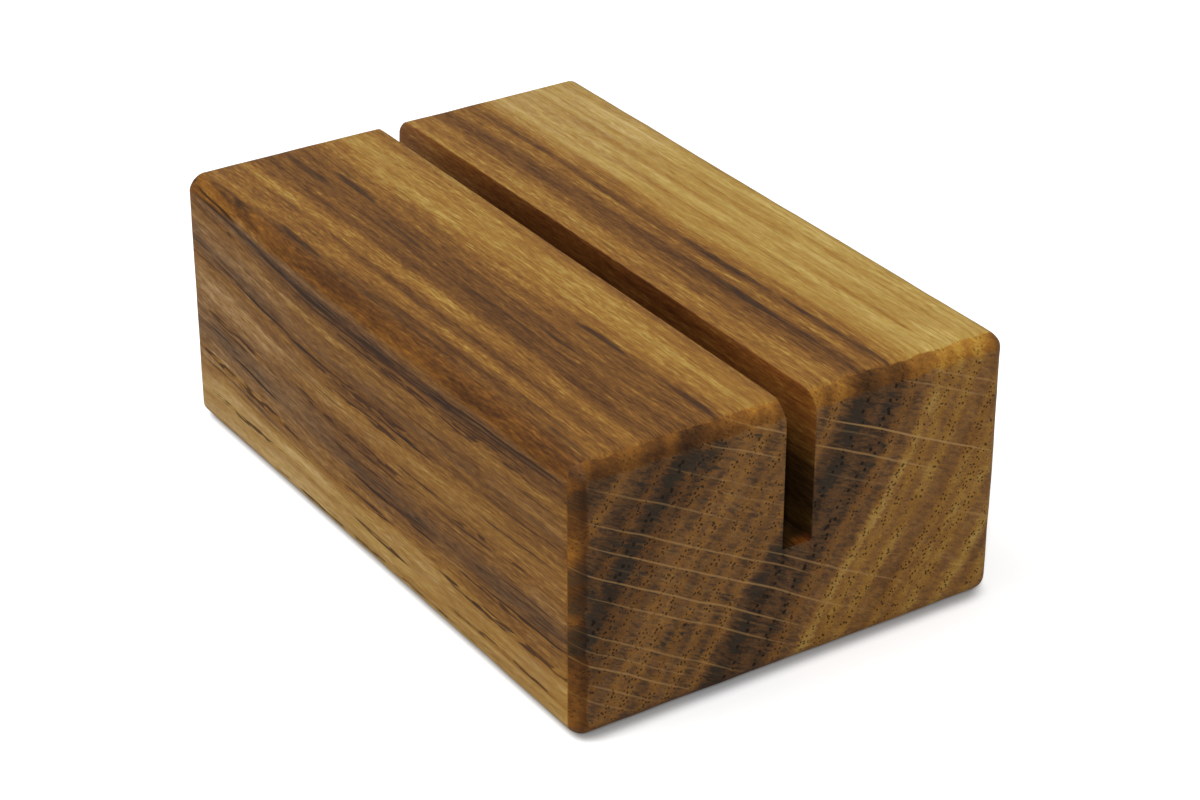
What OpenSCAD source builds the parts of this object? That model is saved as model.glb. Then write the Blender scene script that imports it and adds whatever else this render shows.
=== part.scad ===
// Place card holder: a solid oak block with a card slot sawn along its top.
// The grain runs along Y, the slot runs along the grain, and the block stands on Z = 0, centred on X and Y.

/* [Block] */
// Width of the block, across the grain
block_w = 45; // [30:0.5:90]
// Length of the block, along the grain and the slot
block_l = 69.5; // [40:0.5:150]
// Height of the block
block_h = 26.4; // [18:0.1:60]
// Radius of the softened edges and corners
edge_r = 2; // [0.5:0.1:4]

/* [Card slot] */
// Width of the saw cut that holds the card
slot_w = 3; // [1:0.1:6]
// Depth of the slot below the top face
slot_depth = 14; // [4:0.5:16]
// Width of the small bevel that eases the slot's two long top edges
slot_ease = 0.3; // [0.1:0.05:1]

/* [Hidden] */
// How far a cut runs past the face that it opens
cut_over = 1;
$fn = 48;

oak = [0.60, 0.42, 0.20];
slot_floor = block_h - slot_depth;

// Where the edge rounds have their centres along one side of a box, at its low and high end
function ends(size) = [-size / 2 + edge_r, size / 2 - edge_r];

// The rod that rounds one edge, upright and centred, between the balls at the two corners
module edge_rod(side) {
    cylinder(r = edge_r, h = side - 2 * edge_r, center = true);
}

// A box centred on the origin, with a rod along each edge and a ball at each corner
module softened_box(size) {
    inner = size - 2 * [edge_r, edge_r, edge_r];
    cube([size.x, inner.y, inner.z], center = true);
    cube([inner.x, size.y, inner.z], center = true);
    cube([inner.x, inner.y, size.z], center = true);
    for (x = ends(size.x), y = ends(size.y))
        translate([x, y, 0]) edge_rod(size.z);
    for (x = ends(size.x), z = ends(size.z))
        translate([x, 0, z]) rotate([90, 0, 0]) edge_rod(size.y);
    for (y = ends(size.y), z = ends(size.z))
        translate([0, y, z]) rotate([0, 90, 0]) edge_rod(size.x);
    for (x = ends(size.x), y = ends(size.y), z = ends(size.z))
        translate([x, y, z]) sphere(r = edge_r);
}

// The slot's section: a flat floor, upright walls and a small bevel at the mouth
module slot_section() {
    wall = slot_w / 2;
    mouth = wall + slot_ease;
    polygon([
        [-wall, slot_floor],
        [wall, slot_floor],
        [wall, block_h - slot_ease],
        [mouth, block_h],
        [mouth, block_h + cut_over],
        [-mouth, block_h + cut_over],
        [-mouth, block_h],
        [-wall, block_h - slot_ease]
    ]);
}

// The saw cut, open at both ends
module card_slot() {
    translate([0, block_l / 2 + cut_over, 0])
        rotate([90, 0, 0])
            linear_extrude(block_l + 2 * cut_over) slot_section();
}

module block() {
    color(oak)
        difference() {
            translate([0, 0, block_h / 2]) softened_box([block_w, block_l, block_h]);
            card_slot();
        }
}

block();
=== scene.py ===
"""An oiled oak place card holder on a white table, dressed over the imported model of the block."""

import math

import bpy
from mathutils import Matrix, Vector


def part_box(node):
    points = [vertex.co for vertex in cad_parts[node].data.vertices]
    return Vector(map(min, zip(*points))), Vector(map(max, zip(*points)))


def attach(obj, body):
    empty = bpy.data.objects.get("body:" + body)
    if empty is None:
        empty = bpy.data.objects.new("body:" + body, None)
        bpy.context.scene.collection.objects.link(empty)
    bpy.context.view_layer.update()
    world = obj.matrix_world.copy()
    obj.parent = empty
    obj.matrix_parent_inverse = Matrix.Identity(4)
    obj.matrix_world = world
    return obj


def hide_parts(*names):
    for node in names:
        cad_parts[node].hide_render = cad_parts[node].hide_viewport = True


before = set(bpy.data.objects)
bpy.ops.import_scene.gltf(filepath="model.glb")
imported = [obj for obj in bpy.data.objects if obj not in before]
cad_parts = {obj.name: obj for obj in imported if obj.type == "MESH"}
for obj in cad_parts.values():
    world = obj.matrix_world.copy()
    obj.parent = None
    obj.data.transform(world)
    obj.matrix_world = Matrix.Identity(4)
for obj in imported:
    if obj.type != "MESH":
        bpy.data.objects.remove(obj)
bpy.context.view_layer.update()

MM = 0.001

# Block, taken from the frame, and its card slot, in metres
LOW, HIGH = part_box("block")
WIDTH, LENGTH, HEIGHT = HIGH - LOW
CENTRE = (LOW + HIGH) / 2
SLOT_WIDTH = 3.0 * MM
SLOT_DEPTH = 14.0 * MM
SLOT_FLOOR = HEIGHT - SLOT_DEPTH

# The same in millimetres, for the material: from the middle to a side, an end and a slot wall, and heights
SIDE = WIDTH / MM / 2
END = LENGTH / MM / 2
TOP = HEIGHT / MM
SLOT_HALF = SLOT_WIDTH / MM / 2
SLOT_BED = SLOT_FLOOR / MM

# Sanded edges, in metres. A profile of 0.5 is round and 0.25 is a flat chamfer
EDGE_REACH = 1.6 * MM
EDGE_PROFILE = 0.4
EDGE_STEPS = 8
ROUND_PROFILE = 0.5
SLOT_EASE = 0.28 * MM
SLOT_EASE_STEPS = 3
GRID = 1.25 * MM
WAVE_DEPTH = 0.22 * MM
WAVE_SIZE = 5.0 * MM
WAVE_REACH = 1.5 * EDGE_REACH
SAME_PLACE = 0.01 * MM
WELD = 0.002 * MM
SMOOTH_ANGLE = math.radians(40)

# Growth rings, in millimetres: their centre (the pith) and the end face's centre, both seen on the end grain.
# Low on the end the rings lean out by LEAN, and they drift by DRIFT a millimetre along the block
PITH_X = -229.8
PITH_Z = 133.6
FACE_X = 0.0
FACE_Z = 13.2
RING_RADIUS = math.hypot(FACE_X - PITH_X, FACE_Z - PITH_Z)
RING_ANGLE = math.atan2(FACE_Z - PITH_Z, FACE_X - PITH_X)
LEAN = 2.05
LEAN_FROM = 10.0
LEAN_TO = -7.0
DRIFT = 0.01


# Modelling

def deselect():
    bpy.ops.object.select_all(action="DESELECT")


def edit(piece):
    """Opens one piece in edit mode with nothing selected."""
    deselect()
    piece.select_set(True)
    bpy.context.view_layer.objects.active = piece
    bpy.ops.object.mode_set(mode="EDIT")
    bpy.ops.mesh.select_mode(type="EDGE")
    bpy.ops.mesh.select_all(action="DESELECT")


def close_edit():
    bpy.ops.object.mode_set(mode="OBJECT")


def pick_edges(piece, wanted):
    """Selects the edges whose two ends both pass the test, and opens the piece again."""
    bpy.ops.object.mode_set(mode="OBJECT")
    points = piece.data.vertices
    for edge in piece.data.edges:
        edge.select = all(wanted(points[i].co) for i in edge.vertices)
    bpy.ops.object.mode_set(mode="EDIT")


def near(a, b):
    return abs(a - b) < SAME_PLACE


def apply_modifier(piece, kind, **settings):
    deselect()
    piece.select_set(True)
    bpy.context.view_layer.objects.active = piece
    modifier = piece.modifiers.new(kind.title(), kind)
    for name, value in settings.items():
        setattr(modifier, name, value)
    bpy.ops.object.modifier_apply(modifier=modifier.name)


def box_piece(name, size, place):
    """A box of the given size, centred on the given place."""
    deselect()
    bpy.ops.mesh.primitive_cube_add(size=1, location=place)
    piece = bpy.context.object
    piece.name = name
    piece.scale = size
    bpy.ops.object.transform_apply(location=True, rotation=True, scale=True)
    return piece


def cut_grid(axis):
    """Cuts evenly spaced lines round the open block, square to one axis."""
    low, high = LOW[axis], HIGH[axis]
    normal = [0, 0, 0]
    normal[axis] = 1
    count = round((high - low) / GRID)
    for i in range(1, count):
        place = [0, 0, 0]
        place[axis] = low + (high - low) * i / count
        bpy.ops.mesh.select_all(action="SELECT")
        bpy.ops.mesh.bisect(plane_co=place, plane_no=normal, xstart=0, xend=0, ystart=0, yend=0)


def wave_edges(block):
    """Sands the outer edges a little unevenly, always inwards."""
    edges = block.vertex_groups.new(name="edges")
    for point in block.data.vertices:
        depths = sorted(min(c - low, high - c) for c, low, high in zip(point.co, LOW, HIGH))
        share = 1 - depths[1] / WAVE_REACH
        if share > 0:
            edges.add([point.index], share, "REPLACE")
    hand = bpy.data.textures.new("hand_sanding", "CLOUDS")
    hand.noise_scale = WAVE_SIZE
    apply_modifier(block, "DISPLACE", texture=hand, texture_coords="LOCAL", direction="NORMAL",
                   mid_level=1.0, strength=WAVE_DEPTH, vertex_group="edges")
    block.vertex_groups.clear()


def sanded_block():
    """The oak block: edges sanded over, then the slot sawn through it and its mouth eased."""
    block = box_piece("oak_block", (WIDTH, LENGTH, HEIGHT), CENTRE)
    edit(block)
    bpy.ops.mesh.select_all(action="SELECT")
    bpy.ops.mesh.bevel(offset=EDGE_REACH, segments=EDGE_STEPS, profile=EDGE_PROFILE)
    close_edit()

    over = HEIGHT
    saw = box_piece(
        "saw", (SLOT_WIDTH, 2 * LENGTH, SLOT_DEPTH + over), (0, 0, SLOT_FLOOR + (SLOT_DEPTH + over) / 2))
    apply_modifier(block, "BOOLEAN", operation="DIFFERENCE", solver="EXACT", object=saw)
    bpy.data.objects.remove(saw)

    edit(block)
    bpy.ops.mesh.select_all(action="SELECT")
    bpy.ops.mesh.remove_doubles(threshold=WELD)
    pick_edges(block, lambda point: near(abs(point.x), SLOT_WIDTH / 2) and near(point.z, HEIGHT))
    bpy.ops.mesh.bevel(
        offset=SLOT_EASE, segments=SLOT_EASE_STEPS, profile=ROUND_PROFILE, clamp_overlap=True)
    for axis in (1, 0, 2):
        cut_grid(axis)
    bpy.ops.mesh.select_all(action="SELECT")
    bpy.ops.mesh.normals_make_consistent(inside=False)
    close_edit()
    wave_edges(block)
    deselect()
    block.select_set(True)
    bpy.ops.object.shade_smooth_by_angle(angle=SMOOTH_ANGLE)
    return block


# Materials

class Value:
    """A number, colour or vector in a node tree. Numbers add their Math nodes by Python's own signs."""

    def __init__(self, finish, socket):
        self.finish = finish
        self.socket = socket

    def maths(self, operation, *values):
        return self.finish.node("Math", {"operation": operation}, dict(enumerate(values)))

    def __add__(self, other):
        return self.maths("ADD", self, other)

    __radd__ = __add__

    def __sub__(self, other):
        return self.maths("SUBTRACT", self, other)

    def __rsub__(self, other):
        return self.maths("SUBTRACT", other, self)

    def __mul__(self, other):
        return self.maths("MULTIPLY", self, other)

    __rmul__ = __mul__

    def __truediv__(self, other):
        return self.maths("DIVIDE", self, other)

    def __pow__(self, other):
        return self.maths("POWER", self, other)

    def __abs__(self):
        return self.maths("ABSOLUTE", self)

    def most(self, other):
        return self.maths("MAXIMUM", self, other)

    def least(self, other):
        return self.maths("MINIMUM", self, other)

    def rise(self, low, high):
        """0 below low, 1 above high, with a soft step between. It falls where low is above high."""
        settings = {"interpolation_type": "SMOOTHSTEP"}
        return self.finish.node("MapRange", settings, {"Value": self, "From Min": low, "From Max": high})


class Finish:
    """One material's node tree."""

    def __init__(self, name):
        self.material = bpy.data.materials.new(name)
        self.material.use_nodes = True
        self.tree = self.material.node_tree
        self.tree.nodes.clear()

    def node(self, kind, settings=None, inputs=None, output=0):
        """Adds a node, sets it up, fills its sockets and gives one of its outputs as a Value."""
        made = self.tree.nodes.new("ShaderNode" + kind)
        for name, value in (settings or {}).items():
            if name == "stops":
                self.fill_ramp(made.color_ramp, value)
            else:
                setattr(made, name, value)
        for name, value in (inputs or {}).items():
            if isinstance(value, Value):
                self.tree.links.new(value.socket, made.inputs[name])
            else:
                made.inputs[name].default_value = value
        return Value(self, made.outputs[output]) if len(made.outputs) else None

    @staticmethod
    def fill_ramp(ramp, stops):
        while len(ramp.elements) < len(stops):
            ramp.elements.new(1.0)
        for element, (place, colour) in zip(ramp.elements, stops):
            element.position = place
            element.color = colour

    def vector(self, operation, *values, output=0):
        return self.node("VectorMath", {"operation": operation}, dict(enumerate(values)), output)

    def point(self, x, y, z):
        return self.node("CombineXYZ", inputs={0: x, 1: y, 2: z})

    def part(self, vector, axis):
        """A vector's x, y or z, for axis 0, 1 or 2."""
        return self.node("SeparateXYZ", inputs={0: vector}, output=axis)

    def grey(self, value):
        return self.node("CombineColor", inputs={0: value, 1: value, 2: value})

    def blend(self, share, a, b):
        """Goes from number a to number b as the share goes from 0 to 1."""
        return self.node("Mix", {"data_type": "FLOAT"}, {0: share, 2: a, 3: b})

    def mix(self, share, a, b, kind="MIX"):
        """Goes from colour a to colour b as the share goes from 0 to 1."""
        return self.node("Mix", {"data_type": "RGBA", "blend_type": kind}, {0: share, 6: a, 7: b}, 2)

    def tinted(self, share, colour, tint):
        """Multiplies a colour by a tint where the share is 1."""
        return self.mix(share, colour, tint, "MULTIPLY")

    def tones(self, place, stops):
        """A colour that follows a list of (place, colour)."""
        return self.node("ValToRGB", {"stops": stops}, {0: place})

    def curve(self, place, stops):
        """A number that follows a list of (place, number), with straight lines between."""
        first = stops[0][0]
        reach = stops[-1][0] - first
        shares = [((at - first) / reach, (number, number, number, number)) for at, number in stops]
        return self.node("ValToRGB", {"stops": shares}, {0: (place - first) / reach}, output=1)

    def noise(self, vector, scale, detail=2.0, roughness=0.5, shift=0.0):
        """Soft noise from 0 to 1 whose patches are scale millimetres across."""
        stretch = tuple(1 / s for s in scale)
        moved = self.node("Mapping", inputs={"Vector": vector, "Scale": stretch, "Location": (shift,) * 3})
        inputs = {"Vector": moved, "Scale": 1.0, "Detail": detail, "Roughness": roughness}
        return self.node("TexNoise", {"noise_dimensions": "3D"}, inputs)

    def marks(self, place, marks):
        """The strongest of several soft-edged marks, each given by its centre, reach and strength."""
        strongest = None
        for centre, reach, strength in marks:
            scale = tuple(1 / r for r in reach)
            shift = tuple(-c / r for c, r in zip(centre, reach))
            away = self.vector("MULTIPLY_ADD", place, scale, shift)
            away_squared = self.vector("DOT_PRODUCT", away, away, output=1)
            one = self.node("MapRange", {"interpolation_type": "SMOOTHSTEP"},
                            {"Value": away_squared, "From Min": 1.0, "From Max": 0.2, "To Max": strength})
            strongest = one if strongest is None else strongest.most(one)
        return strongest


def srgb(red, green, blue):
    """A colour seen on screen, from 0 to 255, as the linear colour that a shader takes."""
    def linear(c):
        c = c / 255
        return c / 12.92 if c <= 0.04045 else ((c + 0.055) / 1.055) ** 2.4
    return (linear(red), linear(green), linear(blue), 1.0)


# Oiled oak from its darkest to its palest: (level, colour). A level is the red of the colour as seen, from 0
# to 1. A goldness of 1 takes the golden tones, where the oil is deep, and one of 0 the greyer tones
GOLDEN_TONES = [
    (0.10, srgb(26, 16, 8)), (0.24, srgb(61, 38, 18)), (0.36, srgb(92, 58, 26)),
    (0.44, srgb(113, 74, 32)), (0.52, srgb(133, 89, 38)), (0.60, srgb(154, 109, 45)),
    (0.66, srgb(169, 131, 61)), (0.72, srgb(184, 151, 77)), (0.80, srgb(204, 175, 103)),
]
GREYER_TONES = [
    (0.10, srgb(26, 20, 15)), (0.24, srgb(61, 46, 32)), (0.36, srgb(92, 68, 46)),
    (0.44, srgb(112, 82, 53)), (0.52, srgb(133, 99, 64)), (0.60, srgb(153, 118, 76)),
    (0.66, srgb(168, 135, 89)), (0.72, srgb(184, 154, 106)), (0.80, srgb(204, 178, 131)),
]

# Colours laid over the oak, as seen: stains and lines of the long grain, stains and pores of the end grain,
# vessels and rays
INK = srgb(46, 33, 25)
LINE = srgb(50, 32, 18)
CHARCOAL = srgb(54, 46, 36)
PORE = srgb(34, 24, 14)
VESSEL = srgb(70, 40, 18)
RAY = srgb(186, 146, 92)

# Tints that multiply the oak's colour. On the left face, a painted bluish sheen: where it is greyest and
# where it is palest
LEFT_GREY_SHEEN = (0.98, 1.05, 1.22, 1.0)
LEFT_PALE_SHEEN = (1.02, 0.97, 1.09, 1.0)
# On the sanded edges of the ends, which take more oil, with painted shade and light: the low ones shaded and
# the high ones lit, each at the left and at the right, then the upright left one, shaded next to the end face
# and lit next to the left face
LOW_SHADED_EDGE_LEFT = (0.86, 0.80, 0.66, 1.0)
LOW_SHADED_EDGE_RIGHT = (1.12, 1.07, 0.84, 1.0)
HIGH_LIT_EDGE_LEFT = (1.42, 1.36, 1.08, 1.0)
HIGH_LIT_EDGE_RIGHT = (1.34, 1.36, 1.16, 1.0)
LEFT_EDGE_SHADED_INNER = (0.64, 0.57, 0.50, 1.0)
LEFT_EDGE_LIT_OUTER = (1.30, 1.20, 0.86, 1.0)
# On the long edge between the left face and the top, next to each: oil with painted shade next to the left
# face and painted light next to the top
LONG_EDGE_SHADED_LOW = (0.91, 0.82, 0.57, 1.0)
LONG_EDGE_LIT_HIGH = (1.06, 0.97, 0.65, 1.0)
# In the slot, painted shade and light: shade near its mouth and deeper near its floor, light at its rear end,
# shade along its middle, and a painted highlight at the front's foot
SLOT_MOUTH_SHADE = (0.74, 0.55, 0.56, 1.0)
SLOT_DEEP_SHADE = (0.19, 0.20, 0.20, 1.0)
SLOT_REAR_LIGHT = (1.22, 1.32, 1.3, 1.0)
SLOT_MIDDLE_SHADE = (0.52, 0.47, 0.46, 1.0)
SLOT_FOOT_HIGHLIGHT = (0.75, 0.50, 0.34, 1.0)

# How strongly the rays and pores show, and the bare surface
RAY_SHARE = 0.62
FINE_PORE_SHARE = 0.8
WIDE_PORE_SHARE = 0.95
ROUGHNESS = 0.52
OIL_IOR = 1.45
OIL_SHINE = 0.15
RELIEF_STRENGTH = 0.3
RELIEF_DEPTH = 0.06 * MM

# Levels and goldness of the long grain and of the end grain: (place across the rings in millimetres, number)
TOP_LEVELS = [
    (-26.5, 0.40), (-24.5, 0.43), (-23.3, 0.40), (-21.5, 0.52), (-20.5, 0.47), (-19.4, 0.58),
    (-18.0, 0.44), (-15.8, 0.42), (-15.1, 0.47), (-14.5, 0.44), (-13.7, 0.51), (-13.0, 0.49),
    (-11.5, 0.60), (-10.9, 0.59), (-10.0, 0.62), (-8.0, 0.60), (-7.0, 0.55), (-3.7, 0.57), (-2.2, 0.57),
    (-0.4, 0.46), (0.7, 0.41), (2.0, 0.54), (3.1, 0.44), (3.8, 0.57), (5.9, 0.68), (7.0, 0.66),
    (8.3, 0.70), (9.0, 0.67), (13.0, 0.70), (17.0, 0.66), (21.0, 0.69), (26.5, 0.66),
]
TOP_GOLD = [
    (-26.5, 0.9), (-20.0, 1.05), (-12.5, 1.05), (-11.0, 1.0), (-2.5, 1.0), (0.0, 1.05), (3.0, 1.0),
    (4.5, 0.78), (6.0, 0.65), (26.5, 0.64),
]
END_LEVELS = [
    (-26.5, 0.30), (-22.0, 0.34), (-20.0, 0.42), (-19.2, 0.41), (-17.3, 0.32), (-16.5, 0.34),
    (-15.2, 0.27), (-14.0, 0.31), (-12.0, 0.39), (-11.0, 0.45), (-9.0, 0.48), (-6.0, 0.44), (-4.5, 0.47),
    (-2.6, 0.43), (-1.5, 0.46), (-0.3, 0.34), (1.2, 0.30), (2.8, 0.39), (4.2, 0.35), (6.0, 0.44),
    (7.6, 0.51), (8.6, 0.57), (9.6, 0.53), (12.3, 0.55), (14.5, 0.50), (15.8, 0.54), (16.4, 0.50),
    (17.5, 0.56), (20.0, 0.54), (21.6, 0.59), (23.0, 0.52), (26.5, 0.58),
]
END_GOLDEN = [(-26.5, 0.5), (6.0, 0.5), (10.0, 0.65), (26.5, 0.65)]

# Levels and goldness of the left face: (height in millimetres, number)
SIDE_LEVELS = [
    (0.0, 0.68), (1.2, 0.70), (2.4, 0.68), (3.6, 0.66), (4.8, 0.69), (5.8, 0.62), (6.6, 0.55),
    (7.6, 0.53), (8.8, 0.46), (9.8, 0.46), (11.0, 0.51), (12.6, 0.53), (13.8, 0.58), (15.2, 0.58),
    (16.2, 0.54), (17.4, 0.48), (18.4, 0.49), (19.6, 0.55), (21.0, 0.56), (22.0, 0.50), (22.8, 0.45),
    (23.4, 0.41), (24.2, 0.46), (25.2, 0.50), (26.4, 0.48),
]
SIDE_GOLD = [
    (0.0, 0.48), (1.5, 0.50), (3.0, 0.68), (4.4, 0.58), (5.6, 0.68), (6.5, 0.60), (7.4, 0.35),
    (8.2, 0.35), (9.2, 0.08), (10.0, 0.08), (11.0, 0.30), (12.8, 0.50), (13.6, 0.44), (14.6, 0.38),
    (15.5, 0.56), (16.8, 0.80), (17.8, 0.55), (18.6, 0.25), (19.4, 0.36), (20.3, 0.50), (21.9, 0.72),
    (22.7, 0.62), (23.4, 0.34), (24.2, 0.10), (25.0, 0.50), (26.4, 0.90),
]

# Marks on the top face: (x, rear end along y, front end along y, half width, strength)
TOP_INK = [
    (9.5, -1, -20, 0.45, 0.85), (9.7, -15, -36, 0.36, 0.75), (9.9, -26, -36, 0.4, 0.7),
    (9.1, 33, 17, 0.36, 0.75), (9.2, 20, 2, 0.26, 0.45), (7.1, -9, -25, 0.45, 0.95),
    (7.3, 2, -36, 0.36, 0.7), (7.0, -27, -37, 0.4, 0.7), (-7.8, -11, -22, 0.45, 0.85),
    (-7.7, -25, -36, 0.38, 0.8), (-8.6, 20, 3, 0.26, 0.6), (-10.3, 28, 17, 0.5, 0.98),
    (-12.2, 34, 21, 0.6, 0.9), (-11.7, 18, 5, 0.48, 0.85), (-20.4, 21, 9, 0.45, 0.95),
    (-20.6, 11, -9, 0.36, 0.75), (-21.4, 33, 21, 0.5, 0.8), (-20.1, -23, -36, 0.3, 0.6),
    (-17.4, 25, 19, 0.25, 0.55), (6.0, 33, 8, 0.5, 0.42), (-13.4, 22, -30, 0.25, 0.5),
    (-10.9, 4, -34, 0.25, 0.55), (-9.0, -4, -36, 0.22, 0.55), (-17.6, 6, -12, 0.25, 0.5),
    (-19.2, -10, -33, 0.22, 0.5), (-12.3, 2, -20, 0.22, 0.55), (-14.6, 30, 8, 0.22, 0.5),
    (4.9, -4, -30, 0.2, 0.45), (-9.5, 34, 22, 0.25, 0.5),
]
TOP_BROWN = [
    (9.3, 38, -40, 0.75, 0.45), (6.8, 10, -40, 1.0, 0.6), (5.9, 38, -6, 1.1, 0.6),
    (11.2, 22, -2, 0.7, 0.65), (-7.9, -4, -40, 0.9, 0.8), (-10.6, 32, -40, 0.8, 0.45),
    (-12.6, 40, -40, 0.8, 0.5), (-14.0, 30, -40, 0.6, 0.5), (-17.6, 12, -38, 0.8, 0.6),
    (-19.9, 18, -40, 0.5, 0.5), (-21.3, 36, -10, 0.9, 0.6), (3.6, 28, 12, 0.25, 0.6),
    (2.7, 4, -16, 0.25, 0.6), (4.1, -2, -26, 0.25, 0.6), (12.9, 14, -2, 0.22, 0.6),
    (11.3, -15, -33, 0.5, 0.5), (17.8, 18, -1, 0.25, 0.5), (16.6, 24, 0, 0.25, 0.4),
    (15.4, -13, -34, 0.3, 0.5), (18.9, -6, -22, 0.3, 0.4), (13.8, -3, -30, 0.4, 0.4),
    (20.6, 30, -34, 0.35, 0.45), (-2.2, 36, -36, 0.25, 0.4), (-4.6, 18, 6, 0.2, 0.5),
]
TOP_LIGHT = [
    (-4.0, 40, -40, 1.3, 0.5), (-6.6, 33, 8, 0.8, 1.0), (-5.8, 12, -34, 0.6, 0.7),
    (-16.0, 34, 9, 0.8, 0.9), (-15.4, 10, -12, 0.6, 0.8), (-15.9, -5, -36, 0.4, 0.45),
    (8.4, -4, -36, 0.35, 0.7), (3.3, -5, -22, 0.3, 0.9), (2.6, 36, -36, 0.6, 0.4),
    (14.0, 33, 10, 1.2, 0.5), (20.0, 10, -34, 1.2, 0.5), (16.0, -28, -38, 2.5, 0.7),
    (-10.6, -20, -36, 0.3, 0.6), (-13.0, -18, -36, 0.3, 0.6), (-18.6, 10, -36, 0.4, 0.4),
    (-7.8, 34, 12, 0.5, 1.0), (-13.8, 10, -10, 0.4, 0.9), (8.7, 12, -4, 0.35, 0.9),
    (4.3, -10, -34, 0.3, 0.8), (5.8, 34, 14, 0.3, 0.6), (18.3, 30, 4, 0.5, 0.6),
    (14.6, -4, -30, 0.5, 0.6), (11.2, -12, -34, 0.4, 0.5),
]

# Marks on the left face: (height, rear end along y, front end along y, half width, strength)
SIDE_SHADE = [
    (23.5, 40, -40, 0.65, 0.75), (24.8, 34, 16, 0.5, 0.5), (18.1, 40, 10, 0.9, 0.8),
    (18.3, 12, -16, 0.7, 0.5), (18.0, -16, -40, 0.8, 0.5), (9.9, 33, 12, 1.4, 0.6),
    (9.3, 8, -16, 1.1, 0.6), (9.2, -14, -38, 1.4, 0.7), (6.9, 4, -4, 0.4, 0.4), (6.3, 34, 12, 0.35, 0.7),
    (21.3, 10, -10, 0.35, 0.5),
]
SIDE_LINES = [
    (23.3, 20, 13, 0.2, 1.0), (23.1, 16, 3, 0.24, 1.0), (23.5, 1, -7, 0.2, 1.0),
    (23.6, -8, -37, 0.17, 1.0), (23.1, -9, -36, 0.11, 0.8), (23.9, 34, 22, 0.16, 0.85),
    (23.4, 33, 21, 0.14, 0.8), (22.6, 16, -8, 0.12, 0.7), (22.5, -10, -30, 0.13, 0.75),
    (17.5, 26, 12, 0.2, 1.0), (17.3, 15, 6, 0.2, 0.9), (17.8, 30, 24, 0.13, 0.7),
    (17.1, -18, -36, 0.13, 0.6), (8.9, 27, 15, 0.2, 1.0), (9.9, 33, 24, 0.15, 0.8),
    (8.6, 3.5, -6, 0.22, 1.0), (8.4, -7, -13, 0.2, 0.95), (8.0, -17, -36, 0.16, 0.85),
    (14.6, 17, 2, 0.11, 0.6), (14.9, -17, -36, 0.11, 0.65), (13.4, -3, -16, 0.12, 0.65),
    (3.3, -10, -35, 0.14, 0.45), (20.3, -20, -36, 0.12, 0.55), (16.9, 36, 24, 0.13, 0.6),
    (6.7, 6, -5, 0.16, 0.6), (6.3, 34, 16, 0.14, 0.6), (11.3, 31, 24, 0.14, 0.8),
    (4.0, 33, 18, 0.12, 0.4), (21.9, 4, -4, 0.13, 0.7), (16.6, -2, -14, 0.14, 0.75),
    (12.7, 14, 8, 0.14, 0.7), (10.9, 28, 22, 0.14, 0.7), (5.7, -12, -30, 0.13, 0.5),
    (2.2, 24, -16, 0.1, 0.35), (1.5, -6, -34, 0.1, 0.35), (11.4, -8, -26, 0.12, 0.6),
    (5.8, 30, 4, 0.12, 0.45), (12.2, -12, -24, 0.13, 0.7), (15.9, 4, -8, 0.13, 0.7),
    (10.2, -20, -36, 0.1, 0.6),
]
SIDE_VESSELS = [
    (21.9, 10, -36, 0.6, 1.0), (22.2, 36, 22, 0.4, 0.7), (17.0, 14, -16, 0.7, 1.0),
    (15.6, 10, -9, 0.4, 1.0), (11.6, 33, 14, 0.35, 0.9), (12.3, 14, -12, 0.4, 0.9),
    (11.5, 6, -10, 0.3, 0.8), (12.6, -11, -30, 0.35, 0.8), (7.0, 36, 10, 0.45, 1.0),
    (6.6, 6, -6, 0.35, 1.0), (5.8, -8, -38, 0.5, 1.0), (7.7, -14, -34, 0.35, 0.8),
    (4.1, 34, 14, 0.35, 1.0), (3.8, 4, -9, 0.25, 1.0), (10.8, 30, 22, 0.3, 0.8), (1.7, 30, -30, 0.3, 0.6),
    (3.3, -10, -36, 0.3, 0.8), (19.4, 2, -30, 0.3, 0.5), (10.2, 10, -12, 0.35, 0.6),
    (23.0, 9, -12, 0.4, 0.9), (8.7, 2, -12, 0.3, 0.7),
]
SIDE_LIGHT = [
    (20.9, 36, -36, 0.6, 0.4), (14.6, 36, 10, 0.9, 0.9), (15.9, -14, -38, 0.4, 0.35),
    (5.0, 36, -36, 0.5, 0.6), (2.4, 38, -38, 0.6, 0.4), (19.6, -6, -24, 0.3, 0.4),
    (13.9, 20, 2, 0.4, 0.5), (6.4, -30, -37, 0.3, 0.4), (13.3, 36, 13, 0.6, 0.9),
    (19.5, 36, 13, 0.5, 0.8), (7.3, 35, 12, 0.35, 0.9), (1.3, 40, -40, 0.5, 0.9),
]
MARK_DEPTH = 2.5

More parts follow.
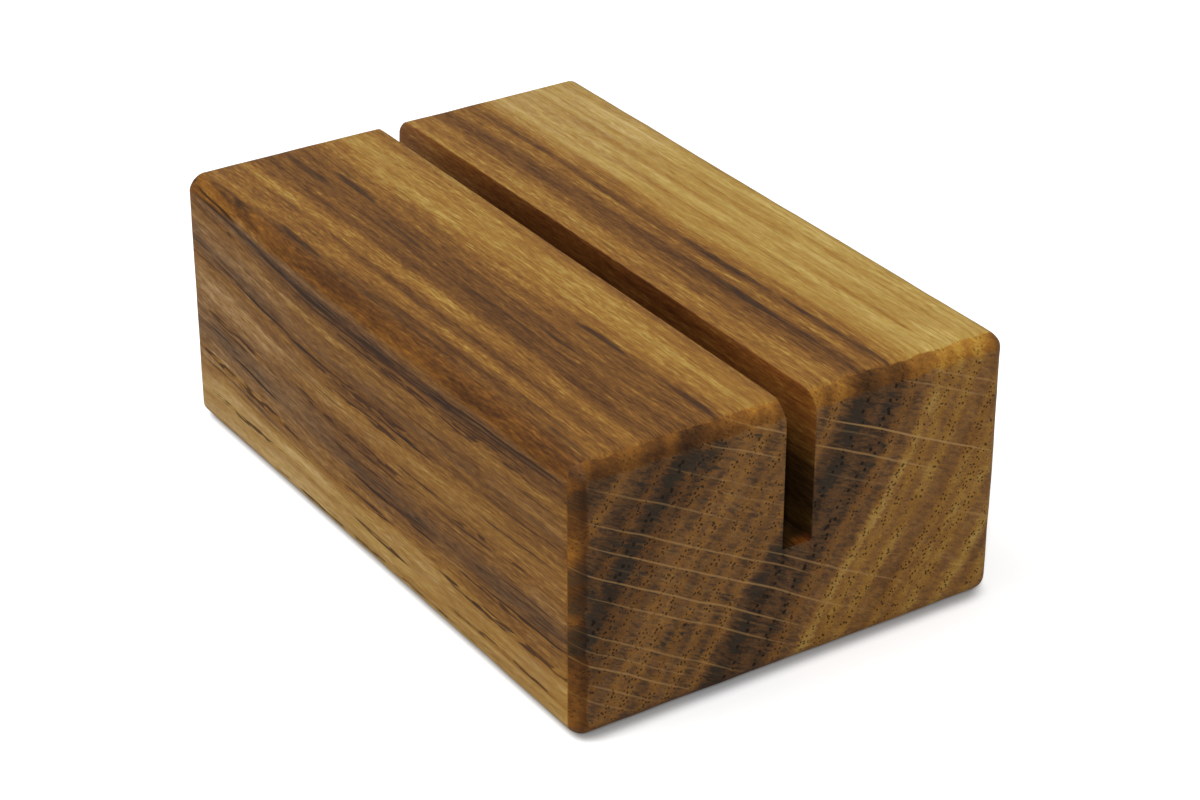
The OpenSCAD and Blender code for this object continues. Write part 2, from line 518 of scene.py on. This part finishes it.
# Patches on the end grain: (across the rings, across the rays, reach each way, strength)
END_INK = [
    (-15.3, 3.5, 1.0, 2.4, 0.9), (-15.1, -0.5, 0.8, 2.0, 0.8), (-14.8, -6.3, 1.3, 1.8, 0.9),
    (-15.6, -10.8, 1.0, 2.2, 0.8), (-12.3, 5.5, 1.1, 2.3, 0.75), (-18.0, 1.0, 0.5, 2.0, 0.5),
    (-17.0, -10.0, 1.0, 2.6, 0.8), (-19.2, 8.0, 1.5, 1.5, 0.6), (0.8, 11.0, 1.4, 3.0, 0.9),
    (1.1, 6.0, 1.3, 2.6, 0.9), (4.6, 7.0, 0.7, 2.5, 0.6), (5.2, 9.0, 0.5, 0.7, 0.8),
    (3.6, 12.5, 0.8, 2.0, 0.6), (-0.1, -2.0, 1.0, 1.4, 0.8), (0.2, -5.0, 0.9, 2.0, 0.9),
    (0.9, -9.5, 0.9, 2.8, 0.9), (0.4, -13.3, 1.2, 1.4, 0.8), (4.2, -3.5, 0.6, 1.4, 0.7),
    (4.0, -8.5, 0.7, 0.8, 0.8), (4.0, -11.2, 0.6, 0.8, 0.6), (-5.6, -10.0, 0.6, 1.6, 0.5),
    (-3.0, -12.3, 1.1, 0.9, 0.5), (-2.3, -6.8, 1.4, 0.5, 0.5), (-14.1, 4.9, 1.7, 1.5, 0.75),
    (-17.3, -4.3, 1.3, 1.6, 0.7), (-18.6, -8.0, 1.2, 1.7, 0.8), (-22.6, -1.4, 1.1, 2.0, 0.7),
    (-15.4, -13.8, 1.6, 2.4, 0.8), (-12.2, -6.0, 1.0, 1.0, 0.4), (-6.7, -12.0, 0.9, 2.2, 0.45),
    (-15.2, -3.0, 1.7, 13.0, 0.42), (-12.6, 5.0, 1.6, 3.4, 0.5), (-9.0, 8.0, 0.7, 0.8, 0.5),
]
END_GOLD = [
    (-20.3, -1.0, 0.9, 4.0, 0.5), (-1.3, -4.0, 0.7, 1.9, 0.6), (-1.5, -9.5, 0.7, 1.5, 0.6),
    (-1.6, -12.5, 0.8, 1.2, 0.5), (-0.9, 13.4, 0.8, 0.9, 0.7), (-8.6, 5.0, 0.9, 1.6, 0.4),
    (-8.7, -10.0, 0.7, 2.2, 0.4), (8.5, 5.0, 0.8, 4.6, 0.6), (8.6, -3.0, 0.8, 3.6, 0.5),
    (9.2, 14.0, 0.9, 1.8, 0.6), (8.8, -9.0, 0.7, 2.6, 0.5), (21.6, 2.5, 0.8, 3.2, 0.5),
    (17.0, 6.0, 0.6, 3.2, 0.4), (-11.5, -3.0, 0.7, 4.0, 0.3), (-6.8, -3.0, 0.6, 2.0, 0.3),
]
END_BROWN = [
    (14.6, 0.0, 0.8, 4.5, 0.6), (15.3, 13.0, 0.5, 3.2, 0.8), (22.6, 2.0, 0.6, 3.0, 0.7),
    (12.9, -2.0, 0.7, 2.0, 0.5), (7.2, 2.0, 0.5, 5.0, 0.5), (6.8, 11.0, 0.5, 2.5, 0.5),
    (-7.5, -4.0, 0.6, 3.0, 0.4), (-10.5, 2.0, 0.6, 3.0, 0.4), (18.8, -1.0, 0.6, 2.0, 0.4),
]

# Rays that show on the end grain: (place across the rays, from ring, to ring, strength)
END_RAYS = [
    (16.6, 6, 17, 0.5), (15.3, 4, 16, 0.5), (10.75, -5, 21, 1.0), (10.0, -5, 5, 0.25),
    (8.75, -12, -5, 0.7), (8.3, -5, 14, 0.75), (6.55, -14, -5, 0.6), (6.0, 0, 12, 0.25),
    (5.15, 16, 24, 0.4), (3.65, -18, 0, 0.3), (2.5, -12, 0, 0.3), (1.4, -12, 0, 0.2), (0.9, 16, 24, 0.3),
    (0.3, -24, -3, 0.45), (-1.1, -16, 16, 0.15), (-1.9, -4, 18, 0.6), (-2.9, -25, 8, 0.65),
    (-3.8, -18, 6, 0.15), (-5.05, -25, 17, 0.75), (-6.4, -18, 2, 0.2), (-7.6, -25, 11, 0.75),
    (-8.4, -12, 6, 0.2), (-9.5, -19, 9, 0.6), (-12.9, -19, 5, 0.55), (-13.7, -8, 0, 0.25),
    (-14.35, -17, -1, 0.4), (-15.6, -18, 0, 0.75), (-17.35, -13, -5, 0.5), (-18.75, -14, -7, 0.35),
]
RAY_WIDTH = 0.12
REAR_SHIFT = 1.7

# Rows of pores across the rings, in millimetres: fine pores in pale wood, and single files of wide ones in
# the dark bands. A cell holds one pore, whose radius is given as a share of the cell
FINE_ROWS = [-23.6, -20.1, -16.8, -13.6, -12.0, -9.7, -8.2, -5.9, -3.9, -1.7, 5.7, 8.4, 10.0, 12.0, 15.2,
             16.8, 18.3, 21.1, 24.0]
WIDE_ROWS = [-15.0, 1.35, 4.1]
FINE_CELL = 0.45
FINE_PORE = 0.29
WIDE_CELL = 0.85
WIDE_PORE = 0.24


def top_marks(marks):
    return [((x, (rear + front) / 2, TOP), (width, (rear - front) / 2, MARK_DEPTH), strength)
            for x, rear, front, width, strength in marks]


def side_marks(marks):
    return [((-SIDE, (rear + front) / 2, height), (MARK_DEPTH, (rear - front) / 2, width), strength)
            for height, rear, front, width, strength in marks]


def end_marks(marks):
    return [((ring, ray, 0), (ring_reach, ray_reach, 1), strength)
            for ring, ray, ring_reach, ray_reach, strength in marks]


def ray_marks(rays):
    return [(((first + last) / 2, at, 0), ((last - first) / 2 + 1, RAY_WIDTH, 1), strength)
            for at, first, last, strength in rays]


class Oak(Finish):
    """The block's oiled oak: one body of wood, cut by the block's faces. All its lengths are millimetres."""

    def __init__(self):
        super().__init__("oiled_oak")
        place = self.node("TexCoord", output=3)
        self.in_mm = self.vector("DIVIDE", place, (MM, MM, MM))
        self.x, self.y, self.z = (self.part(self.in_mm, axis) for axis in range(3))
        self.set_faces()
        self.set_grain()
        self.set_noises()
        self.set_pores()

    def set_faces(self):
        """Shares of the end grain, the sanded edges, the left face and the slot."""
        x, y, z = self.x, self.y, self.z
        scallop = self.noise(self.in_mm, (2.6, 7.0, 3.5), detail=1.0, shift=21.0) - 0.5
        fray = self.noise(self.in_mm, (0.6, 2.0, 0.9), detail=1.0, shift=23.0) - 0.5
        from_end = END - abs(y)
        from_side = (SIDE - abs(x)).least(z).least(TOP - z)
        from_slot = (abs(x) - SLOT_HALF).most(SLOT_BED - z)
        inset = from_side - from_end
        # The end grain's border is straight beside the left face and frayed elsewhere
        loose = x.rise(-21.4, -20.4)
        border = (inset + loose * (1.2 * scallop + 0.3 * fray)).rise(-1.3, -1.02)
        self.end_grain = border * from_slot.rise(0.02, 0.06)
        self.end_flat = (inset + 0.9 * scallop + 0.7 * fray).rise(0.95, 1.35)
        self.left = x.rise(-21.4, -22.0) * (z + 1.5 * scallop).rise(25.5, 24.9)
        self.end_edge = self.end_grain * (1 - self.end_flat)
        self.left_edge = x.rise(-20.6, -21.5) * (z + 0.8 * scallop).rise(25.6, 24.8)
        self.top_edge = (x + 0.8 * scallop).rise(-20.7, -21.4) * (z + 0.8 * scallop).rise(24.6, 25.2)
        in_slot = abs(x).rise(SLOT_HALF + 0.1, SLOT_HALF + 0.02)
        self.slot = in_slot * z.rise(SLOT_BED - 0.05, SLOT_BED - 0.02)

    def growth(self, x, z):
        """Place across the rings and across the rays."""
        across_x = x - PITH_X
        across_z = z - PITH_Z
        ring = (across_x * across_x + across_z * across_z) ** 0.5 - RING_RADIUS
        ray = (across_z.maths("ARCTAN2", across_z, across_x) - RING_ANGLE) * RING_RADIUS
        return ring + LEAN * ray.rise(LEAN_FROM, LEAN_TO), ray

    def set_grain(self):
        """Place in the wood, which wanders on the long faces and is combed along the rays on the ends."""
        x, y, z = self.x, self.y, self.z
        inside = y.rise(-END, 25 - END)
        sway = self.noise(self.in_mm, (14, 40, 14), detail=1.0) - 0.5
        wander = self.noise(self.in_mm, (2.0, 12, 2.0), detail=2.0, shift=7.0) - 0.5
        dip = 2.0 * y.rise(6, 38) + 0.8 * y.rise(-8, -36)
        self.height = z + 0.8 * wander - dip * z.rise(4, 10) * x.rise(-14, -21)
        across = x + 0.7 * wander + 1.6 * sway * inside
        self.top_place = self.point(across, y, z)
        # The right face has the left one's marks, turned round
        self.right = x.rise(-0.5, 0.5)
        self.side_place = self.point(-1 * abs(x), y - 2 * self.right * y, self.height)
        long_ring, long_ray = self.growth(across, self.height)

        end_ring, end_ray = self.growth(x, z)
        bend = self.noise(self.in_mm, (6, 20, 6), detail=1.0, shift=3.0) - 0.5
        end_ray = end_ray + 0.5 * bend
        comb = self.noise(self.point(end_ring, end_ray, y), (2.2, 0.24, 6), detail=2.0, shift=9.0) - 0.5
        combed_ring = end_ring + 1.3 * comb
        shifted_ray = end_ray + REAR_SHIFT * y.rise(-0.5, 0.5)
        self.end_place = self.point(combed_ring, shifted_ray, 0)
        self.ray_place = self.point(end_ring, shifted_ray, 0)
        self.ring = self.blend(self.end_grain, long_ring + DRIFT * (y + END), combed_ring)
        long_wood = self.point(long_ring, long_ray, y)
        end_wood = self.point(combed_ring, end_ray, y)
        self.wood = self.node("Mix", {"data_type": "VECTOR"},
                              {0: self.end_grain, 4: long_wood, 5: end_wood}, 1)

    def set_noises(self):
        wood = self.wood
        self.fibre = self.noise(wood, (0.16, 0.19, 1.4), detail=1.0, roughness=0.6, shift=11.0) - 0.5
        self.grit = self.noise(wood, (0.36, 0.48, 0.5), detail=2.0, roughness=0.7, shift=37.0) - 0.5
        self.strand = self.noise(wood, (0.7, 0.9, 11), detail=1.0, roughness=0.6, shift=5.0) - 0.5
        self.streak = self.noise(wood, (0.62, 0.8, 34), detail=1.0, roughness=0.6, shift=13.0) - 0.5
        self.feather = self.noise(wood, (0.4, 0.5, 4), detail=2.0, roughness=0.66, shift=27.0) - 0.5
        self.mottle = self.noise(wood, (1.2, 1.5, 6), detail=3.0, roughness=0.75, shift=47.0) - 0.5
        self.cloud = self.noise(wood, (1.4, 3.5, 18), detail=2.0, roughness=0.6) - 0.5
        self.tint = self.noise(wood, (0.8, 2.0, 6), detail=2.0, roughness=0.7, shift=71.0) - 0.5

    def nearest(self, rows):
        """How far across the rings the nearest of several rows is."""
        gap = None
        for at in rows:
            one = abs(self.ring - at)
            gap = one if gap is None else gap.least(one)
        return gap

    def scattered(self, place, cell):
        """How far the nearest of many scattered points is, in cells of the given size."""
        in_cells = self.vector("DIVIDE", place, (cell,) * 3)
        return self.node("TexVoronoi", {"voronoi_dimensions": "2D"}, {"Vector": in_cells, "Scale": 1.0})

    def set_pores(self):
        """Pores of the end grain: dots in rows along the rings, straight through the block."""
        drift_place = self.vector("DIVIDE", self.in_mm, (2.5, 9.0, 2.5))
        drift = self.node("TexNoise", {"noise_dimensions": "3D"},
                          {"Vector": drift_place, "Scale": 1.0, "Detail": 0.0}, output=1)
        moved = self.vector("MULTIPLY_ADD", drift, (0.45, 0, 0.45), self.in_mm)
        flat = self.vector("MULTIPLY", moved, (1, 0, 1))
        turned = self.node("VectorRotate", {"rotation_type": "X_AXIS"},
                           {"Vector": flat, "Angle": math.pi / 2})
        cluster = self.noise(self.in_mm, (1.1, 9.0, 1.1), detail=1.0, shift=31.0)
        self.fine_row = self.nearest(FINE_ROWS).rise(0.95, 0.25)
        wide_row = self.nearest(WIDE_ROWS).rise(0.75, 0.3)
        fine_size = FINE_PORE * self.fine_row * cluster.rise(0.36, 0.52)
        self.fine_pore = (fine_size - self.scattered(turned, FINE_CELL)).rise(-0.02, 0.09)
        self.wide_pore = (WIDE_PORE * wide_row - self.scattered(turned, WIDE_CELL)).rise(-0.01, 0.05)

    def ragged(self, mark, fine, broad, low, high):
        """A soft mark broken up along the fibres, finely and more broadly."""
        gate = mark.rise(0, 0.3)
        return (mark + (fine * (self.fibre + self.feather) + broad * self.mottle) * gate).rise(low, high)

    def long_grain(self):
        """Level, goldness, ink, vessels and lines of the wood that is cut along the grain."""
        side, top = self.side_place, self.top_place
        level = self.blend(self.left, self.curve(self.ring, TOP_LEVELS), self.curve(self.height, SIDE_LEVELS))
        gold = self.blend(self.left, self.curve(self.ring, TOP_GOLD), self.curve(self.height, SIDE_GOLD))
        # Pale wood is calmer than dark wood
        calm = 1 - 0.55 * level.rise(0.52, 0.66)
        brown = self.ragged(self.marks(top, top_marks(TOP_BROWN)), 0.8, 1.8, 0.25, 0.75)
        pale = self.marks(top, top_marks(TOP_LIGHT)).most(self.marks(side, side_marks(SIDE_LIGHT)))
        pale = self.ragged(pale, 0.8, 1.6, 0.3, 0.9)
        side_shade = self.marks(side, side_marks(SIDE_SHADE)) * (1 - self.right)
        shade = self.ragged(side_shade, 0.8, 1.8, 0.15, 0.95)
        ink = self.ragged(self.marks(top, top_marks(TOP_INK)), 1.3, 1.6, 0.12, 1.15)
        side_line = self.marks(side, side_marks(SIDE_LINES)) * (1 - 0.5 * self.right)
        lines = self.ragged(side_line, 0.6, 0.7, 0.2, 0.85)
        rust = self.ragged(self.marks(side, side_marks(SIDE_VESSELS)), 0.6, 1.4, 0.15, 0.85)
        strings = self.noise(self.wood, (0.24, 0.38, 3.0), detail=1.0, shift=61.0)
        loose_dash = strings.rise(0.5, 0.6) * calm * (0.45 * brown).most(0.2)
        vessel = loose_dash.most(0.9 * rust * strings.rise(0.46, 0.55))
        fleck = self.noise(self.wood, (0.14, 0.24, 1.7), detail=1.0, shift=17.0).rise(0.58, 0.68)
        thin = self.noise(self.wood, (0.13, 0.26, 6), detail=1.0, shift=67.0).rise(0.52, 0.62)
        front = self.y.rise(25, -5)
        texture = 0.10 * self.grit + 0.32 * self.fibre + 0.16 * self.strand + 0.12 * self.mottle
        level = level - 0.07 * brown + 0.06 * pale - 0.05 * shade - 0.03 * rust
        level = level + 0.07 * fleck * calm * (1 - 0.75 * self.left) + 0.022 * (1 - front)
        level = level + 0.16 * self.cloud + 0.2 * self.streak + calm * texture
        level = level - thin * (0.035 * calm + 0.10 * shade)
        low = self.left * self.z.rise(7, 5)
        gold = gold + 0.9 * self.tint - 0.12 * shade + 0.1 * fleck + 0.6 * rust + 0.4 * side_line
        gold = gold + (strings - 0.5) + front * (0.45 + 0.05 * self.left - 0.2 * low)
        return level, gold, (0.74 * ink).most(0.15 * shade), vessel, 0.9 * lines

    def end_grain_look(self):
        """Level, goldness, charcoal and rays of the wood that is cut across the grain."""
        place = self.end_place
        loose = 1 - 0.6 * self.end_edge
        dash = self.noise(self.wood, (0.9, 0.27, 3.0), detail=2.0, shift=41.0).rise(0.42, 0.66) * loose
        dash = dash * (1 - 0.4 * self.ring.rise(7, 10))
        hair = self.noise(self.wood, (2.4, 0.11, 4.0), detail=1.0, shift=51.0).rise(0.6, 0.75)
        between = 1 - self.fine_row
        gold_patch = self.marks(place, end_marks(END_GOLD))
        brown_patch = self.marks(place, end_marks(END_BROWN))
        ink = self.marks(place, end_marks(END_INK))
        level = self.curve(self.ring, END_LEVELS) + 0.07 * gold_patch - 0.06 * brown_patch
        level = level - 0.09 * dash * (0.25 + between) + 0.06 * self.fine_row + 0.03 * hair
        level = level + 0.18 * self.fibre + 0.06 * self.grit + 0.20 * self.mottle + 0.16 * self.cloud
        gold = self.curve(self.ring, END_GOLDEN) + 0.3 * self.fine_row - 0.25 * dash + 0.6 * self.tint
        ink = (ink + 0.7 * self.cloud + 0.7 * self.mottle + 0.5 * (dash - 0.4)).rise(0.15, 0.9)
        rays = self.marks(self.ray_place, ray_marks(END_RAYS)) * (0.5 + 0.5 * self.end_flat)
        return level, gold, 0.85 * ink, rays


def grain_colour(wood):
    """The oak's colour, without the extra oil of its edges and slot, and the share that its pores take."""
    long_level, long_gold, long_ink, vessel, lines = wood.long_grain()
    end_level, end_gold, end_ink, rays = wood.end_grain_look()
    cut = wood.end_grain
    along = 1 - cut

    level = wood.blend(cut, long_level, end_level)
    gold = wood.blend(cut, long_gold, end_gold) + 0.5 * wood.end_edge + 0.4 * wood.top_edge
    colour = wood.mix(gold.rise(-0.1, 1.1), wood.tones(level, GREYER_TONES), wood.tones(level, GOLDEN_TONES))
    left_face_sheen = wood.left * along
    # A painted bluish sheen on the left face, over its grey and its pale wood
    colour = wood.tinted(left_face_sheen * long_gold.rise(0.0, -0.7), colour, LEFT_GREY_SHEEN)
    colour = wood.tinted(left_face_sheen * long_level.rise(0.56, 0.68), colour, LEFT_PALE_SHEEN)
    colour = wood.mix(vessel * along, colour, VESSEL)
    colour = wood.mix(lines * along, colour, LINE)
    colour = wood.mix(long_ink * along, colour, INK)
    colour = wood.mix(end_ink * cut * (1 - 0.1 * wood.left_edge * wood.end_edge), colour, CHARCOAL)
    colour = wood.mix(RAY_SHARE * rays * cut, colour, RAY)

    pore = (FINE_PORE_SHARE * wood.fine_pore).most(WIDE_PORE_SHARE * wood.wide_pore)
    pore_share = cut * pore * (1 - rays) * (1 - 0.5 * wood.end_edge)
    return wood.mix(pore_share, colour, PORE), pore_share


def oiled_and_lit_edges(wood, colour):
    """Tints the sanded edges, which take more oil, and paints light and shade on them by the way each part
    faces.
    """
    to_right = wood.x.rise(-6, 8)
    to_top = wood.z.rise(25.4, 26.4)
    # Painted shade on the low edges, painted light on the high ones and on the left one's outer side
    low_edge_oil_and_shade = wood.mix(to_right, LOW_SHADED_EDGE_LEFT, LOW_SHADED_EDGE_RIGHT)
    high_edge_oil_and_light = wood.mix(to_right, HIGH_LIT_EDGE_LEFT, HIGH_LIT_EDGE_RIGHT)
    left_edge_oil_and_shade = wood.mix(wood.x.rise(-21.3, -22.3), LEFT_EDGE_SHADED_INNER, LEFT_EDGE_LIT_OUTER)
    end_edge_oil_and_shade = wood.mix(wood.left_edge, wood.mix(to_top, low_edge_oil_and_shade, high_edge_oil_and_light), left_edge_oil_and_shade)
    colour = wood.tinted(wood.end_edge, colour, end_edge_oil_and_shade)
    # Painted shade low on the long edge, painted light high on it
    long_edge_oil_and_shade = wood.mix(wood.z.rise(25.6, 26.2), LONG_EDGE_SHADED_LOW, LONG_EDGE_LIT_HIGH)
    return wood.tinted(wood.top_edge * (1 - wood.end_grain), colour, long_edge_oil_and_shade)


def painted_slot_shade(wood, colour):
    """Paints shade into the slot, the darker the deeper it is, with painted light at its rear end and a
    painted highlight at the front's foot.
    """
    y, z = wood.y, wood.z
    # Painted shade, from the mouth down to the floor
    tint = wood.mix(z.rise(TOP, SLOT_BED + 5), SLOT_MOUTH_SHADE, SLOT_DEEP_SHADE)
    tint = wood.tinted(y.rise(22, 34), tint, SLOT_REAR_LIGHT)
    tint = wood.tinted(y.rise(33, 10) * y.rise(-28, -13), tint, SLOT_MIDDLE_SHADE)
    # The lip at the front end's floor catches light: a painted highlight
    lit_foot = y.rise(-33.2, -34.4) * z.rise(SLOT_BED + 0.5, SLOT_BED + 0.05)
    tint = wood.mix(lit_foot * (wood.x + wood.fibre).rise(-0.7, 0.8), tint, SLOT_FOOT_HIGHLIGHT)
    return wood.tinted(wood.slot, colour, tint)


def oak():
    wood = Oak()
    colour, pore_share = grain_colour(wood)
    colour = painted_slot_shade(wood, oiled_and_lit_edges(wood, colour))
    relief = wood.noise(wood.in_mm, (0.22, 3.5, 0.22), detail=2.0, shift=81.0)
    bump = wood.node("Bump", inputs={"Strength": RELIEF_STRENGTH, "Distance": RELIEF_DEPTH, "Height": relief})
    rough = ROUGHNESS + 0.2 * pore_share - 0.2 * wood.fibre
    shader = wood.node("BsdfPrincipled", inputs={
        "Base Color": colour, "Roughness": rough, "Normal": bump, "IOR": OIL_IOR,
        "Specular IOR Level": OIL_SHINE})
    wood.node("OutputMaterial", inputs={"Surface": shader})
    return wood.material


def floor_finish():
    """White to the camera and a plain grey to the object, with the object's shadow on it, deepened by a
    painted contact shadow at its foot and lifted by painted light at its left.
    """
    finish = Finish("white_table")
    seen = finish.node("LightPath", output=0)
    open_sky = finish.node("AmbientOcclusion", {"samples": 16}, {"Distance": CONTACT_REACH}, output=1)
    x = finish.part(finish.node("TexCoord", output=3), 0)
    not_left = x.rise(LOW.x - 0.3 * MM, LOW.x + 1.5 * MM)
    # Painted contact shadow from ambient occlusion, turned into painted light at the left
    shade = CONTACT_SHADE * (1 - open_sky.rise(0.2, 0.82)) * finish.blend(not_left, LEFT_CONTACT, 1.0)
    painted_contact_shadow = 1 - shade
    seen_grey = finish.grey(FLOOR_DARK + (FLOOR_PALE - FLOOR_DARK) * painted_contact_shadow.least(1))
    colour = finish.mix(seen, FLOOR_GREY, seen_grey)
    shader = finish.node("BsdfPrincipled", inputs={
        "Base Color": colour, "Roughness": 1.0, "Specular IOR Level": 0.0,
        "Emission Color": (1.0, 1.0, 1.0, 1.0), "Emission Strength": seen * FLOOR_GLOW * painted_contact_shadow})
    finish.node("OutputMaterial", inputs={"Surface": shader})
    return finish.material


# Stage

# Floor. At the block's foot a painted contact shadow darkens it by CONTACT_SHADE, times LEFT_CONTACT at the
# left, where the negative factor makes it painted light: the lamps' own shadow is too dark there, and is
# lightened
FLOOR_SIZE = 4.0
FLOOR_GREY = (0.5, 0.5, 0.5, 1.0)
FLOOR_DARK = 0.1
FLOOR_PALE = 0.9
FLOOR_GLOW = 0.46
CONTACT_REACH = 2.0 * MM
CONTACT_SHADE = 0.72
LEFT_CONTACT = -0.5

# Camera: angles in degrees, lengths in metres, lens in millimetres
CAMERA_AZIMUTH = -33.38
CAMERA_ELEVATION = 28.55
CAMERA_ROLL = 0.205
CAMERA_DISTANCE = 288.4 * MM
CAMERA_ASIDE = 2.31 * MM
CAMERA_BELOW = 2.33 * MM
CAMERA_LENS = 92.87
CAMERA_SENSOR = 36.0
CAMERA_CLIP = 0.01

# Lamps: (name, azimuth and elevation in degrees, distance and size in metres, light)
LAMPS = [
    ("key_softbox", -118, 62, 0.9, 0.5, 0.45),
    ("front_lamp", -38, 40, 1.2, 0.12, 0.36),
]
WORLD_LIGHT = 0.42


def direction(azimuth, elevation):
    """The way to an azimuth, 0 at the front and 90 at the right, and an elevation, both in degrees."""
    turn = math.radians(azimuth)
    flat = math.cos(math.radians(elevation))
    return Vector((math.sin(turn) * flat, -math.cos(turn) * flat, math.sin(math.radians(elevation))))


def add_floor():
    deselect()
    bpy.ops.mesh.primitive_plane_add(size=FLOOR_SIZE, location=(0, 0, 0))
    floor = bpy.context.object
    floor.name = "table"
    floor.data.materials.append(floor_finish())


def add_camera():
    """Looks at the block from the photograph's side: left of the near end, and above."""
    back = direction(CAMERA_AZIMUTH, CAMERA_ELEVATION)
    right = direction(CAMERA_AZIMUTH + 90, 0)
    up = back.cross(right)
    roll = math.radians(CAMERA_ROLL)
    turned_right = right * math.cos(roll) + up * math.sin(roll)
    turned_up = up * math.cos(roll) - right * math.sin(roll)
    eye = CENTRE + back * CAMERA_DISTANCE + turned_right * CAMERA_ASIDE - turned_up * CAMERA_BELOW
    lens = bpy.data.cameras.new("camera")
    lens.lens = CAMERA_LENS
    lens.sensor_width = CAMERA_SENSOR
    lens.clip_start = CAMERA_CLIP
    camera = bpy.data.objects.new("camera", lens)
    bpy.context.scene.collection.objects.link(camera)
    turn = Matrix((turned_right, turned_up, back)).transposed().to_4x4()
    camera.matrix_world = Matrix.Translation(eye) @ turn
    bpy.context.scene.camera = camera


def add_softbox(name, azimuth, elevation, distance, size, light):
    """A square lamp that faces the block. It lights a white surface turned to it to a level, out of 1."""
    lamp_data = bpy.data.lights.new(name, "AREA")
    lamp_data.shape = "SQUARE"
    lamp_data.size = size
    lamp_data.energy = light * (math.pi * distance) ** 2
    lamp = bpy.data.objects.new(name, lamp_data)
    bpy.context.scene.collection.objects.link(lamp)
    away = direction(azimuth, elevation)
    lamp.location = CENTRE + away * distance
    lamp.rotation_euler = (-away).to_track_quat("-Z", "Y").to_euler()


def add_lights():
    for lamp in LAMPS:
        add_softbox(*lamp)
    world = bpy.data.worlds.new("studio")
    world.use_nodes = True
    world.node_tree.nodes["Background"].inputs["Color"].default_value = (1, 1, 1, 1)
    world.node_tree.nodes["Background"].inputs["Strength"].default_value = WORLD_LIGHT
    bpy.context.scene.world = world


def build():
    block = sanded_block()
    block.data.materials.clear()
    block.data.materials.append(oak())
    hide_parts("block")
    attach(block, "root")


add_camera()
add_floor()
add_lights()
build()
bpy.context.scene.view_settings.view_transform = "Standard"
